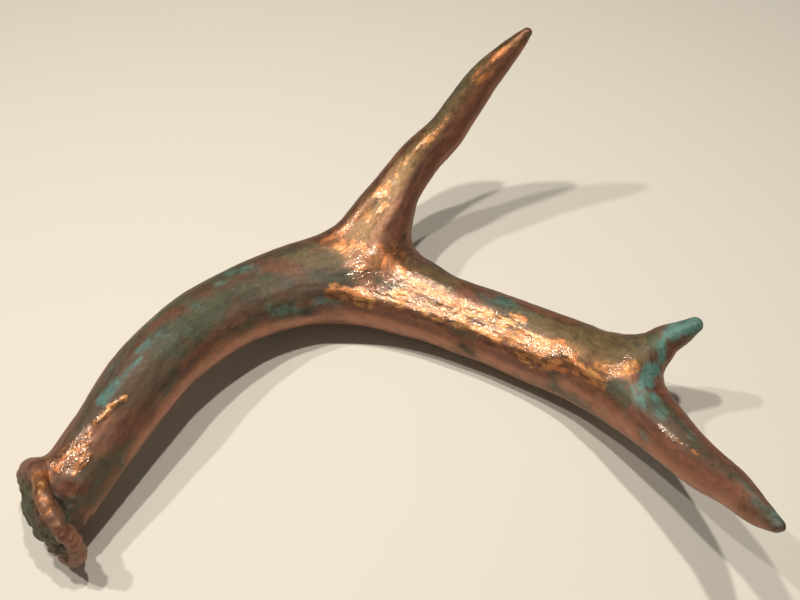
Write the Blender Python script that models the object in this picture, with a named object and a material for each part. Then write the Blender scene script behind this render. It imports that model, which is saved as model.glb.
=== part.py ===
"""A small shed deer antler, lying on its side: burr, curved beam and three points.

The antler rests on the rim of its burr and on the straight underside of its upper beam.
Its skin is the smooth outer surface of balls whose size changes along the centre line of
the beam, of each tine and of the burr's rim. It is one bone, parted only at its two forks.

Metres, +Z up. The origin lies on the resting plane, under the middle of the whole antler.
"""
import math

import bmesh
import bpy
import numpy as np
from mathutils import Matrix, Vector, noise

MM = 0.001

# Centre lines, in mm: x, y, z and half the thickness there
BEAM = (
    (-107.5, -68.0, 19.8, 11.8),   # inside the burr
    (-104.0, -61.5, 20.9, 12.5),   # neck above the burr
    (-94.5, -45.0, 24.5, 12.8),
    (-86.0, -29.0, 27.5, 13.9),    # highest point of the lower beam
    (-75.0, -11.0, 27.0, 14.6),
    (-60.5, 5.0, 25.0, 15.2),
    (-43.5, 18.3, 21.5, 16.1),
    (-21.5, 27.0, 19.2, 17.7),     # first fork
    (-1.0, 25.6, 17.6, 16.8),
    (16.0, 21.0, 15.5, 16.0),      # rests on the table from here
    (33.0, 14.0, 14.9, 14.9),
    (51.0, 6.0, 14.8, 14.8),
    (68.0, -2.5, 15.0, 15.3),      # to here
    (83.5, -12.0, 17.8, 15.5),
    (95.4, -25.6, 23.0, 14.4),     # second fork
    (102.3, -40.3, 28.5, 11.0),
    (109.0, -53.0, 33.0, 9.2),
    (115.5, -66.5, 39.5, 8.0),
    (120.5, -78.0, 48.0, 6.3),
    (123.0, -88.0, 56.0, 4.4),
    (124.5, -93.5, 61.0, 2.2),     # tip of the end tine
)
LONG_TINE = (
    (-8.0, 37.0, 20.5, 15.2),      # root, inside the beam
    (-1.5, 45.0, 24.0, 14.2),
    (4.5, 53.0, 29.5, 12.8),
    (11.0, 62.5, 36.5, 10.2),
    (20.0, 72.0, 45.0, 8.9),
    (30.5, 79.0, 53.5, 8.0),
    (38.5, 85.0, 63.0, 7.3),
    (46.0, 89.5, 73.5, 6.3),
    (53.5, 92.5, 82.5, 5.0),
    (60.0, 94.5, 90.0, 2.9),
    (62.0, 95.0, 92.5, 1.9),       # tip
)
LONG_TINE_WEB = (                  # thickening in the crotch of the first fork
    (22.0, 29.5, 16.5, 5.0),
    (11.5, 38.5, 19.5, 6.2),
    (6.0, 47.0, 25.0, 6.0),
)
SHORT_TINE = (
    (97.5, -17.5, 26.0, 11.0),    # root, inside the beam
    (107.0, -16.0, 33.5, 7.6),
    (111.0, -14.0, 37.5, 5.9),
    (115.5, -13.5, 42.0, 4.3),
    (119.0, -13.0, 46.0, 2.3),     # tip
)

# Burr: a knobby ring set askew to the beam, around a rough domed base
BURR_CENTRE = np.array((-111.0, -73.0, 18.7)) * MM
BURR_FACING = np.array((-0.76, -0.63, 0.15))
RIM_RADIUS = 17.2 * MM             # to the middle of the rim's roll
RIM_SQUAT = 0.90                   # the rim is lower than it is wide
RIM_ROLL = 3.6 * MM                # half the roll's thickness
RIM_KNOB_HEIGHT = 0.45 * MM
RIM_BROAD_KNOBS = 7
RIM_NARROW_KNOBS = 12
RIM_BROAD_SHARE = 0.6              # of the knob height; the narrow knobs have the rest
RIM_KNOB_TURN = 0.8                # radians
RIM_KNOB_CROWDING = 2.1            # the narrow knobs crowd to one side of the ring
RIM_WAVE_HEIGHT = 0.5 * MM         # how far the ring strays from a circle and from its plane
RIM_ROUND_WAVE = (3, 0.6)          # how many waves around, and where they start, in radians
RIM_FLAT_WAVE = (2, 1.9)
RIM_BALLS = 90
BASE_KNOBS = 26
BASE_KNOB_RADIUS = 4.5 * MM
BASE_KNOB_SPREAD = 0.12            # share of the radius by which the knobs differ
BASE_RADIUS = 13.5 * MM
BASE_DOME = 1.8 * MM
BASE_ROUGHNESS = 1.2 * MM
BASE_RISE_STEP = 5.0               # radians from one knob to the next, for their rise
BASE_SIZE_STEP = 3.0               # and for their size
GOLDEN_ANGLE = math.radians(137.5)

# How softly one swept shape runs into the next
LONG_FORK_BLEND = 10.5 * MM
SHORT_FORK_BLEND = 6.5 * MM
BURR_BLEND = 1.5 * MM

# Unevenness of the bone
LUMP_SIZE = 17.0 * MM
LUMP_HEIGHT = 0.45 * MM
RIDGE_COUNT = 7
RIDGE_HEIGHT = 0.40 * MM
RIDGE_TWIST = 14.0                 # radians of turn for each metre along the beam
RIDGE_CROWDING = 1.3               # how unevenly they stand around the beam
RIDGE_FADE = 0.120                 # ridges die out this far from the burr

# Where the bone is parted: a point on the tine's centre line and the way the tine runs there
LONG_FORK = (Vector((6.5, 56.0, 31.3)) * MM, Vector((0.50, 0.68, 0.54)))
SHORT_FORK = (Vector((107.0, -16.0, 33.5)) * MM, Vector((0.59, 0.48, 0.645)))
LONG_FORK_REACH = 42.0 * MM        # half width of the space the tine is parted in
SHORT_FORK_REACH = 13.0 * MM
TINE_SPACE = 130.0 * MM
JOINT_GAP = 0.3 * MM

BALL_STEP = 1.0 * MM
BEAD_STEP = 4                      # every fourth ball is enough for the rough body
VOXEL = 1.25 * MM
SETTLE_PASSES = 5
REST_TRIM = 0.45 * MM              # worn off flat where the antler rests
CUT_TOLERANCE = 0.01 * MM
FACES = 9000

COPPER_BROWN = (0.30, 0.135, 0.060, 1.0)
COPPER_GOLD = (0.42, 0.20, 0.080, 1.0)
PATINA_TEAL = (0.13, 0.24, 0.20, 1.0)
PAINT_METALLIC = 0.75
COAT_WEIGHT = 0.6


def swept(stations):
    """Balls along a smooth curve through the stations: rows of x, y, z, radius."""
    rows = np.array(stations) * MM
    gaps = np.linalg.norm(np.diff(rows[:, :3], axis=0), axis=1)
    along = np.concatenate(([0.0], np.cumsum(gaps)))
    slopes = np.gradient(rows, along, axis=0)
    fine = np.linspace(0.0, along[-1], int(along[-1] / BALL_STEP) + 1)
    low = np.clip(np.searchsorted(along, fine, side="right") - 1, 0, len(along) - 2)
    span = (along[low + 1] - along[low])[:, None]
    t = (fine - along[low])[:, None] / span
    return (
        (2 * t**3 - 3 * t**2 + 1) * rows[low]
        + (t**3 - 2 * t**2 + t) * span * slopes[low]
        + (3 * t**2 - 2 * t**3) * rows[low + 1]
        + (t**3 - t**2) * span * slopes[low + 1]
    )


def burr_axes():
    """The burr's facing direction and two directions across it, the first one level."""
    facing = BURR_FACING / np.linalg.norm(BURR_FACING)
    level = np.cross(facing, (0.0, 0.0, 1.0))
    level /= np.linalg.norm(level)
    return facing, level, np.cross(level, facing)


def wave(turn, shape):
    """Waves around a ring, between -1 and 1."""
    count, start = shape
    return np.sin(count * turn + start)


def burr_rim():
    """Balls around the rim, which swells into knobs and waves in and out of its plane."""
    facing, level, rising = burr_axes()
    turn = np.linspace(0.0, 2 * math.pi, RIM_BALLS, endpoint=False)
    broad = np.cos(RIM_BROAD_KNOBS * turn + RIM_KNOB_TURN)
    narrow = np.cos(RIM_NARROW_KNOBS * turn + RIM_KNOB_CROWDING * np.sin(turn))
    knob = RIM_KNOB_HEIGHT * (RIM_BROAD_SHARE * broad + (1 - RIM_BROAD_SHARE) * narrow)
    radius = RIM_RADIUS + RIM_WAVE_HEIGHT * wave(turn, RIM_ROUND_WAVE) + knob
    depth = RIM_WAVE_HEIGHT * wave(turn, RIM_FLAT_WAVE)
    centre = (
        BURR_CENTRE
        + (radius * np.cos(turn))[:, None] * level
        + (RIM_SQUAT * radius * np.sin(turn))[:, None] * rising
        + depth[:, None] * facing
    )
    return np.column_stack((centre, RIM_ROLL + knob))


def burr_base():
    """Knobs spread over the domed underside of the burr, in a sunflower's spiral."""
    facing, level, rising = burr_axes()
    count = np.arange(BASE_KNOBS)
    share = np.sqrt((count + 0.5) / BASE_KNOBS)
    turn = count * GOLDEN_ANGLE
    out = BASE_RADIUS * share
    rise = BASE_DOME * (1 - share**2) + BASE_ROUGHNESS * np.sin(BASE_RISE_STEP * count)
    centre = (
        BURR_CENTRE
        + (out * np.cos(turn))[:, None] * level
        + (RIM_SQUAT * out * np.sin(turn))[:, None] * rising
        + rise[:, None] * facing
    )
    size = BASE_KNOB_RADIUS * (1 + BASE_KNOB_SPREAD * np.cos(BASE_SIZE_STEP * count))
    return np.column_stack((centre, size))


def nearest(points, balls):
    """Distance to the nearest ball's skin, the way out of it, and which ball that is."""
    distance = np.full(len(points), np.inf)
    which = np.zeros(len(points), int)
    for index, ball in enumerate(balls):
        gap = np.linalg.norm(points - ball[:3], axis=1) - ball[3]
        closer = gap < distance
        distance[closer] = gap[closer]
        which[closer] = index
    outward = points - balls[which, :3]
    outward /= np.linalg.norm(outward, axis=1)[:, None]
    return distance, outward, which


def blended(first, second, softness):
    """The smooth union of two shapes, each given as a distance and a way out."""
    share = np.clip(0.5 + 0.5 * (first[0] - second[0]) / softness, 0.0, 1.0)
    distance = first[0] * (1 - share) + second[0] * share - softness * share * (1 - share)
    outward = first[1] * (1 - share)[:, None] + second[1] * share[:, None]
    outward /= np.linalg.norm(outward, axis=1)[:, None]
    return distance, outward


def ridges(points, beam, which):
    """Low ridges that run along the lower beam, turning slowly, and fade away from the burr."""
    ahead = beam[np.minimum(which + 1, len(beam) - 1), :3]
    behind = beam[np.maximum(which - 1, 0), :3]
    tangent = ahead - behind
    tangent /= np.linalg.norm(tangent, axis=1)[:, None]
    side = np.cross(tangent, (0.0, 0.0, 1.0))
    side /= np.linalg.norm(side, axis=1)[:, None]
    rising = np.cross(side, tangent)
    spoke = points - beam[which, :3]
    turn = np.arctan2((spoke * rising).sum(axis=1), (spoke * side).sum(axis=1))
    along = which * BALL_STEP
    phase = RIDGE_COUNT * turn + RIDGE_TWIST * along + RIDGE_CROWDING * np.sin(2 * turn)
    return RIDGE_HEIGHT * np.cos(phase) * np.clip(1 - along / RIDGE_FADE, 0.0, 1.0)


def lumps(points):
    """Broad, shallow swellings and hollows all over."""
    return np.array([LUMP_HEIGHT * noise.noise(Vector(p) / LUMP_SIZE) for p in points])


def skin(points, shapes):
    """Signed distance from the antler's surface and the way out of it."""
    beam_distance, beam_out, which = nearest(points, shapes["beam"])
    surface = (beam_distance - ridges(points, shapes["beam"], which), beam_out)
    for name, softness in (
        ("long_tine", LONG_FORK_BLEND),
        ("long_tine_web", LONG_FORK_BLEND),
        ("short_tine", SHORT_FORK_BLEND),
        ("rim", BURR_BLEND),
        ("base", BURR_BLEND),
    ):
        surface = blended(surface, nearest(points, shapes[name])[:2], softness)
    return surface[0] - lumps(points), surface[1]


def mesh_object(name, mesh):
    """A new object in the scene that holds the mesh."""
    thing = bpy.data.objects.new(name, mesh)
    bpy.context.scene.collection.objects.link(thing)
    return thing


def evaluated_mesh(thing):
    """The object's mesh with its modifiers applied; the object itself is removed."""
    depsgraph = bpy.context.evaluated_depsgraph_get()
    depsgraph.update()
    mesh = bpy.data.meshes.new_from_object(thing.evaluated_get(depsgraph))
    bpy.data.objects.remove(thing)
    return mesh


def rough_body(shapes):
    """Overlapping beads fused into one closed skin."""
    bm = bmesh.new()
    for balls in shapes.values():
        for x, y, z, radius in balls[::BEAD_STEP]:
            place = Matrix.Translation((x, y, z))
            bmesh.ops.create_icosphere(bm, subdivisions=2, radius=radius, matrix=place)
    mesh = bpy.data.meshes.new("beads")
    bm.to_mesh(mesh)
    bm.free()
    beads = mesh_object("beads", mesh)
    remesh = beads.modifiers.new("fuse", "REMESH")
    remesh.mode = "VOXEL"
    remesh.voxel_size = VOXEL
    return evaluated_mesh(beads)


def settle(mesh, shapes):
    """Draw every point of the rough body onto the antler's smooth surface."""
    points = np.empty(len(mesh.vertices) * 3)
    mesh.vertices.foreach_get("co", points)
    points = points.reshape(-1, 3)
    for _ in range(SETTLE_PASSES):
        distance, outward = skin(points, shapes)
        points -= distance[:, None] * outward
    mesh.vertices.foreach_set("co", points.ravel())
    mesh.update()


def fork_space(fork, reach, setback):
    """A box that holds all of a tine from a plane across its root outwards."""
    point, way = fork
    way = way.normalized()
    bm = bmesh.new()
    turn = way.to_track_quat("Z", "Y").to_matrix().to_4x4()
    middle = point + way * (setback + TINE_SPACE / 2)
    size = Matrix.Diagonal((2 * reach, 2 * reach, TINE_SPACE, 1.0))
    bmesh.ops.create_cube(bm, size=1.0, matrix=Matrix.Translation(middle) @ turn @ size)
    mesh = bpy.data.meshes.new("fork_space")
    bm.to_mesh(mesh)
    bm.free()
    return mesh_object("fork_space", mesh)


def parted(mesh, fork, reach, operation):
    """The body without a tine (DIFFERENCE), or the tine alone (INTERSECT)."""
    half_gap = JOINT_GAP / 2
    setback = -half_gap if operation == "DIFFERENCE" else half_gap
    space = fork_space(fork, reach, setback)
    body = mesh_object("parting", mesh.copy())
    cut = body.modifiers.new("part", "BOOLEAN")
    cut.operation = operation
    cut.solver = "EXACT"
    cut.object = space
    result = evaluated_mesh(body)
    bpy.data.objects.remove(space)
    return result


def thinned(mesh):
    """The mesh with about FACES triangles, fewest where it is flattest."""
    mesh.calc_loop_triangles()
    body = mesh_object("thinning", mesh)
    thin = body.modifiers.new("thin", "DECIMATE")
    thin.ratio = FACES / len(mesh.loop_triangles)
    return evaluated_mesh(body)


def rested(mesh, floor):
    """Cut the mesh flat at the resting plane and close it there."""
    bm = bmesh.new()
    bm.from_mesh(mesh)
    everything = bm.verts[:] + bm.edges[:] + bm.faces[:]
    bmesh.ops.bisect_plane(
        bm, geom=everything, dist=CUT_TOLERANCE, clear_inner=True,
        plane_co=(0.0, 0.0, floor), plane_no=(0.0, 0.0, 1.0),
    )
    open_edges = [edge for edge in bm.edges if edge.is_boundary]
    if open_edges:
        bmesh.ops.holes_fill(bm, edges=open_edges)
    bmesh.ops.recalc_face_normals(bm, faces=bm.faces[:])
    bm.to_mesh(mesh)
    bm.free()


def lowest_point(mesh):
    """The height of the mesh's lowest point."""
    return min(vertex.co.z for vertex in mesh.vertices)


def paint(name, colour, roughness):
    """Metallic paint under a clear coat."""
    material = bpy.data.materials.new(name)
    material.use_nodes = True
    shader = material.node_tree.nodes["Principled BSDF"]
    shader.inputs["Base Color"].default_value = colour
    shader.inputs["Metallic"].default_value = PAINT_METALLIC
    shader.inputs["Roughness"].default_value = roughness
    shader.inputs["Coat Weight"].default_value = COAT_WEIGHT
    return material


def build():
    for thing in list(bpy.data.objects):
        bpy.data.objects.remove(thing)

    shapes = {
        "beam": swept(BEAM),
        "long_tine": swept(LONG_TINE),
        "long_tine_web": swept(LONG_TINE_WEB),
        "short_tine": swept(SHORT_TINE),
        "rim": burr_rim(),
        "base": burr_base(),
    }
    whole = rough_body(shapes)
    settle(whole, shapes)
    whole = thinned(whole)

    pieces = {
        "long_tine": parted(whole, LONG_FORK, LONG_FORK_REACH, "INTERSECT"),
        "short_tine": parted(whole, SHORT_FORK, SHORT_FORK_REACH, "INTERSECT"),
    }
    without_long = parted(whole, LONG_FORK, LONG_FORK_REACH, "DIFFERENCE")
    pieces["main_beam"] = parted(without_long, SHORT_FORK, SHORT_FORK_REACH, "DIFFERENCE")

    paints = {
        "main_beam": paint("copper_over_patina", COPPER_BROWN, 0.32),
        "long_tine": paint("bright_copper", COPPER_GOLD, 0.30),
        "short_tine": paint("teal_patina", PATINA_TEAL, 0.38),
    }
    floor = lowest_point(pieces["main_beam"]) + REST_TRIM
    rested(pieces["main_beam"], floor)

    corners = np.array([vertex.co for mesh in pieces.values() for vertex in mesh.vertices])
    middle = (corners.min(axis=0) + corners.max(axis=0)) / 2
    shift = Matrix.Translation((-middle[0], -middle[1], -floor))
    for name, mesh in pieces.items():
        mesh.transform(shift)
        mesh.name = name
        mesh.materials.clear()
        mesh.materials.append(paints[name])
        mesh.shade_smooth()
        mesh_object(name, mesh)


build()
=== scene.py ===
# A small deer antler in painted copper and patina, lying on cream paper under three lamps.
# Metres, +Z up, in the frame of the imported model. Places on the antler are given in
# millimetres along a branch and in degrees around it: 0 is its top, plus is its inner side.
import math

import bpy
import numpy as np
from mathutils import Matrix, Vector, noise


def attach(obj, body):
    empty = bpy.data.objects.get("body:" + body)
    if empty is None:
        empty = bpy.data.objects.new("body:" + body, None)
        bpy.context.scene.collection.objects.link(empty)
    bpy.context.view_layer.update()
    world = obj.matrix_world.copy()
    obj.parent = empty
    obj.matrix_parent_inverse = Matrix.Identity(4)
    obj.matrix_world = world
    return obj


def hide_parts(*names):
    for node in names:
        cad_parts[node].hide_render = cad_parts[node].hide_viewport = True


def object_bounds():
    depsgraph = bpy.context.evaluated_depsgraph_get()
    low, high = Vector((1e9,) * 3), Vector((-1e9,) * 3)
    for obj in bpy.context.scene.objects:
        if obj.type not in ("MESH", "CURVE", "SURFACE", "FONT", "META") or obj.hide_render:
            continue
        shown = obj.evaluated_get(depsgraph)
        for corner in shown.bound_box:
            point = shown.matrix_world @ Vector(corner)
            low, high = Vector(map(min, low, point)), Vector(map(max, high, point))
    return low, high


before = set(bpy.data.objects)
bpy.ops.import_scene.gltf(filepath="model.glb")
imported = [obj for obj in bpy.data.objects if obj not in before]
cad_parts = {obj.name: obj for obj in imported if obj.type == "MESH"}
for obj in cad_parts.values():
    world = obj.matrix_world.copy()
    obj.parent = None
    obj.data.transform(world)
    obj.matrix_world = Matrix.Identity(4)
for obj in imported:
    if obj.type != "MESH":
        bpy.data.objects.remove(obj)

CAD_LOW, CAD_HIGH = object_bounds()

MM = 0.001

# Centre lines, in mm: x, y, z and half the thickness there
BEAM = (
    (-108.3, -69.6, 19.4, 11.8),   # inside the burr
    (-104.0, -61.5, 20.9, 12.4),   # neck above the burr
    (-94.5, -45.0, 24.5, 12.8),
    (-86.0, -29.0, 27.5, 13.9),    # highest point of the lower beam
    (-75.0, -11.0, 27.0, 14.6),
    (-60.5, 5.0, 25.0, 15.2),
    (-43.5, 18.3, 21.5, 16.1),
    (-21.5, 27.0, 19.2, 17.7),     # first fork
    (-1.0, 25.6, 17.6, 16.8),
    (16.0, 21.0, 15.5, 16.0),      # rests on the table from here
    (33.0, 14.0, 14.9, 14.9),
    (51.0, 6.0, 14.8, 14.8),
    (68.0, -2.5, 15.0, 15.3),      # to here
    (83.5, -12.0, 17.8, 15.5),
    (95.4, -25.6, 23.0, 14.4),     # second fork
    (102.3, -40.3, 28.5, 11.0),
    (108.9, -52.1, 31.9, 9.2),
    (115.4, -64.6, 37.2, 8.0),
    (120.4, -75.9, 45.4, 6.3),
    (122.9, -86.8, 54.6, 4.5),
    (124.5, -93.8, 61.3, 2.5),     # tip of the end tine
)
LONG_TINE = (
    (-8.5, 34.0, 23.5, 14.8),      # root, inside the beam
    (-1.8, 42.5, 27.8, 13.9),
    (4.4, 50.8, 32.6, 12.6),
    (10.9, 61.2, 38.2, 10.2),
    (20.0, 72.0, 45.0, 8.9),
    (30.5, 79.0, 53.5, 8.0),
    (38.5, 85.0, 63.0, 7.3),
    (46.0, 89.5, 73.5, 6.3),
    (53.5, 92.5, 82.5, 5.0),
    (60.0, 94.5, 90.0, 2.9),
    (62.0, 95.0, 92.5, 1.9),       # tip
)
LONG_TINE_WEB = (                  # thickening in the crotch of the first fork
    (22.0, 29.5, 16.5, 5.0),
    (11.5, 38.5, 19.5, 6.2),
    (6.0, 47.0, 25.0, 6.0),
)
SHORT_TINE = (
    (97.5, -17.5, 26.0, 11.0),     # root, inside the beam
    (107.0, -16.0, 33.5, 7.6),
    (111.0, -14.0, 37.5, 5.9),
    (115.5, -13.5, 42.0, 4.4),
    (120.0, -12.9, 47.0, 2.8),     # tip
)

# Burr: a knobby ring set askew to the beam, around a rough domed base
BURR_CENTRE = np.array((-110.5, -73.9, 18.7)) * MM
BURR_FACING = np.array((-0.785, -0.61, 0.16))
RIM_RADIUS = 18.6 * MM             # to the middle of the rim's roll
RIM_SQUAT = 0.86                   # the rim is lower than it is wide
RIM_ROLL = 2.8 * MM                # half the roll's thickness
RIM_KNOB_HEIGHT = 0.22 * MM
RIM_BROAD_KNOBS = 7
RIM_NARROW_KNOBS = 12
RIM_BROAD_SHARE = 0.6              # of the knob height; the narrow knobs have the rest
RIM_KNOB_TURN = 0.8                # radians
RIM_KNOB_CROWDING = 1.2            # the narrow knobs crowd to one side of the ring
RIM_STRAY = 0.4 * MM               # how far the ring strays from a circle
RIM_ROUND_WAVE = (3, 0.6)          # how many waves around, and where they start, in radians
RIM_BEND = 1.4 * MM                # how far it bends out of its plane
RIM_FLAT_WAVE = (3, 1.94)
RIM_BALLS = 180
BASE_KNOBS = 52
BASE_KNOB_RADIUS = 4.2 * MM
BASE_KNOB_SPREAD = 0.12            # share of the radius by which the knobs differ
BASE_RADIUS = 13.9 * MM
BASE_DOME = 3.0 * MM               # how far its middle stands out of the rim's plane
BASE_ROUGHNESS = 0.6 * MM          # how far the knobs rise and sink out of the dome
BASE_RISE_STEP = 5.0               # radians from one knob to the next, for their rise
BASE_SIZE_STEP = 3.0               # and for their size
GOLDEN_ANGLE = math.radians(137.5)

# How softly one swept shape runs into the next
LONG_FORK_BLEND = 10.5 * MM
SHORT_FORK_BLEND = 6.5 * MM
BURR_BLEND = 1.5 * MM
NECK_FLARE = 6.5 * MM              # what the blend gains on the far side, where the neck flares
NECK_FLARE_FROM = 3.0 * MM         # from here to the flare's full width, across the burr
NECK_FLARE_TO = 14.0 * MM
FORK_DISH = np.array((-10.2, -10.1, 159.7, 130.0)) * MM   # place and radius of a ball that
FORK_DISH_BLEND = 7.0 * MM                                # dishes the first fork's top

# Unevenness of the bone
LUMP_SIZE = 17.0 * MM
LUMP_HEIGHT = 0.45 * MM
RIDGE_COUNT = 7
RIDGE_HEIGHT = 0.40 * MM
RIDGE_TWIST = 14.0                 # radians of turn for each metre along the beam
RIDGE_CROWDING = 1.3               # how unevenly they stand around the beam
RIDGE_FADE = 120.0 * MM            # ridges die out this far from the burr
SWELLINGS = (                      # branch, start and end as below, half width and height in mm
    ("long_tine", (-4, -42), (40, -24), 2.8, 0.6),
    ("long_tine", (8, 8), (58, 4), 4.2, -0.6),
    ("beam", (138, 20), (245, 24), 5.5, -1.8),
    ("beam", (142, 60), (206, 46), 3.0, 0.9),
    ("beam", (200, 47), (250, 48), 3.0, 0.7),
    ("beam", (0, -45), (0, 50), 1.6, -0.8),       # groove behind the burr
    ("beam", (7, 5), (8, 52), 2.2, 0.7),
    ("beam", (28, 2), (33, 10), 0.7, 0.22),       # a run of thick paint
    ("beam", (32, 9), (36, 10), 0.7, 0.22),
    ("beam", (35, 9), (41, 21), 0.7, 0.25),
)
SWELLING_STEP = 0.8                # mm
SWELLING_FADE = 0.25               # share of its length over which it sets in, and dies out
FIBRE_SIZE = np.array((16.0, 2.6, 2.6)) * MM   # fine lengthwise grain: along, across
FIBRE_HEIGHT = 0.20 * MM
FIBRE_START = 8.0 * MM             # the grain sets in over this distance from the burr
PIT_SIZE = np.array((3.0, 1.8, 1.8)) * MM
PIT_HEIGHT = 0.11 * MM
WART_SIZE = 2.5 * MM               # on the burr
WART_HEIGHT = 0.85 * MM

BALL_STEP = 1.0 * MM
VOXEL = 0.79 * MM
SETTLE_PASSES = 4
CHUNK = 20000                      # points worked on at a time
TO_MODEL = np.array((-0.22, -1.03, 0.12)) * MM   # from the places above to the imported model's frame

GRAIN_BLEND = 12.0 * MM            # how softly the grain turns from one branch to the next

# Paint strokes: branch, where the stroke starts and ends as (mm along, degrees around),
# half its width in mm, and how solid it is
OLIVE_WASH = (
    ("beam", (6, 50), (26, 52), 7.0, 1.0),
    ("beam", (24, -20), (34, -12), 5.0, 0.95),
    ("beam", (30, 50), (44, 52), 5.0, 0.60),
    ("beam", (34, -30), (60, -28), 5.5, 0.90),
    ("beam", (42, 12), (72, 14), 8.0, 1.0),
    ("beam", (46, 36), (72, 38), 6.0, 1.0),
    ("beam", (62, -36), (80, -34), 3.5, 0.85),
    ("beam", (72, 8), (112, 10), 9.0, 0.95),
    ("beam", (74, 34), (132, 42), 8.0, 0.95),
    ("beam", (80, -24), (128, -24), 6.0, 0.90),
    ("beam", (92, 56), (130, 68), 5.0, 0.95),
    ("beam", (124, 6), (138, 6), 6.0, 0.90),
    ("beam", (126, 74), (141, 78), 5.0, 0.85),
    ("beam", (128, 32), (146, 46), 7.0, 1.0),
    ("beam", (160, 24), (172, 24), 3.6, 0.75),
    ("beam", (168, -52), (198, -50), 3.5, 0.7),
    ("beam", (172, -24), (190, -22), 4.5, 0.90),
    ("beam", (198, 54), (205, 62), 3.2, 0.95),
    ("beam", (203, 80), (207, 88), 2.5, 0.8),
    ("beam", (204, -24), (216, -18), 5.0, 1.0),
    ("beam", (214, -8), (264, -12), 6.0, 0.80),
    ("beam", (236, 84), (264, 88), 3.6, 0.8),
    ("beam", (244, 62), (250, 68), 3.2, 0.95),
    ("beam", (276, 40), (284, 42), 4.0, 0.9),
    ("beam", (288, 8), (346, 4), 4.5, 1.0),
    ("beam", (292, 60), (300, 64), 3.0, 0.7),
    ("beam", (334, -10), (354, 10), 4.0, 1.1),
    ("long_tine", (32, -46), (18, -50), 1.6, 0.8),
    ("long_tine", (68, -18), (100, -16), 3.2, 0.9),
    ("short_tine", (2, -5), (16, -15), 6.0, 0.9),
)
TEAL_PATINA = (
    ("beam", (36, -7), (43, -2), 1.9, 1.1),
    ("beam", (42, -1), (53, 3), 1.0, 0.95),
    ("beam", (46, -26), (58, -24), 3.0, 0.45),
    ("beam", (55, -8), (59, -3), 1.8, 0.90),
    ("beam", (60, 0), (66, 1), 1.6, 0.55),
    ("beam", (70, 22), (74, 34), 2.4, 0.55),
    ("beam", (76, -9), (82, -2), 1.4, 0.55),
    ("beam", (90, -18), (97, -10), 1.6, 0.6),
    ("beam", (94, 54), (106, 60), 2.6, 0.5),
    ("beam", (100, -27), (110, -14), 2.4, 0.62),
    ("beam", (106, 66), (120, 68), 2.0, 0.6),
    ("beam", (130, 64), (145, 64), 1.8, 0.75),
    ("beam", (165, 4), (172, 16), 2.6, 0.65),
    ("beam", (204, -24), (216, -20), 3.8, 0.66),
    ("beam", (222, -14), (234, -16), 2.5, 0.4),
    ("beam", (244, 80), (262, 88), 2.4, 0.5),
    ("beam", (267, -50), (275, -42), 2.6, 1.6),
    ("beam", (270, 72), (277, 84), 2.4, 0.55),
    ("beam", (274, -40), (280, -14), 2.7, 1.7),
    ("beam", (281, 2), (286, 24), 2.5, 0.95),
    ("beam", (286, -2), (293, 8), 2.0, 0.80),
    ("beam", (293, 67), (296, 74), 1.6, 0.9),
    ("beam", (300, -16), (306, -8), 2.0, 0.5),
    ("beam", (336, 5), (356, 0), 3.0, 0.7),
    ("short_tine", (10, 66), (6, 84), 2.4, 0.85),
    ("short_tine", (17, 34), (12, 60), 2.2, 0.95),
    ("short_tine", (24, 20), (18, 28), 2.0, 0.9),
    ("short_tine", (31, 0), (25, 10), 3.8, 1.6),
)
# Rose copper along the lower flanks and the long tine's inner edge: painted reflection of the cream paper
# below
ROSE_COPPER_AND_REFLECTION = (
    ("beam", (26, 88), (46, 92), 3.0, 0.8),
    ("beam", (30, -66), (58, -68), 2.4, 0.7),
    ("beam", (46, 94), (70, 98), 3.2, 0.95),
    ("beam", (70, 100), (132, 98), 3.6, 0.95),
    ("beam", (136, 88), (170, 88), 4.4, 0.9),
    ("beam", (170, 86), (193, 86), 4.4, 0.9),
    ("beam", (214, 84), (238, 84), 4.2, 0.9),
    ("beam", (252, 74), (288, 78), 4.2, 0.85),
    ("beam", (300, 76), (336, 72), 4.6, 1.0),
    ("long_tine", (60, 86), (110, 86), 1.4, 0.8),
)
RED_BROWN = (
    ("beam", (3, 16), (7, 46), 3.0, 1.0),
    ("beam", (6, -42), (24, -40), 4.0, 0.8),
    ("beam", (8, -10), (26, 6), 3.6, 0.85),
    ("beam", (22, 30), (38, 66), 5.0, 0.9),
    ("beam", (60, 64), (76, 62), 3.2, 0.9),
    ("beam", (66, -22), (77, -10), 3.0, 0.9),
    ("beam", (80, 54), (95, 54), 3.4, 0.85),
    ("beam", (98, 36), (116, 44), 2.6, 0.65),
    ("beam", (113, -14), (125, 14), 4.5, 0.85),
    ("beam", (120, 66), (130, 62), 1.6, 0.75),
    ("beam", (131, 14), (134, 17), 1.6, 1.0),
    ("beam", (150, 66), (240, 70), 3.0, 0.85),
    ("beam", (193, -12), (203, -4), 2.6, 0.8),
    ("beam", (196, -32), (206, -26), 3.4, 1.0),
    ("beam", (218, -34), (242, -28), 3.8, 0.95),
    ("beam", (262, 62), (280, 66), 4.5, 0.7),
    ("beam", (282, -42), (345, -44), 3.8, 1.1),
    ("beam", (286, 42), (300, 44), 3.5, 0.95),
    ("beam", (300, 50), (340, 46), 4.0, 1.0),
    ("long_tine", (14, 64), (110, 58), 3.6, 1.0),
    ("long_tine", (22, -52), (62, -46), 2.2, 0.95),
    ("short_tine", (14, -45), (24, -50), 1.8, 0.7),
    ("short_tine", (17, 72), (26, 60), 1.8, 0.9),
)
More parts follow.
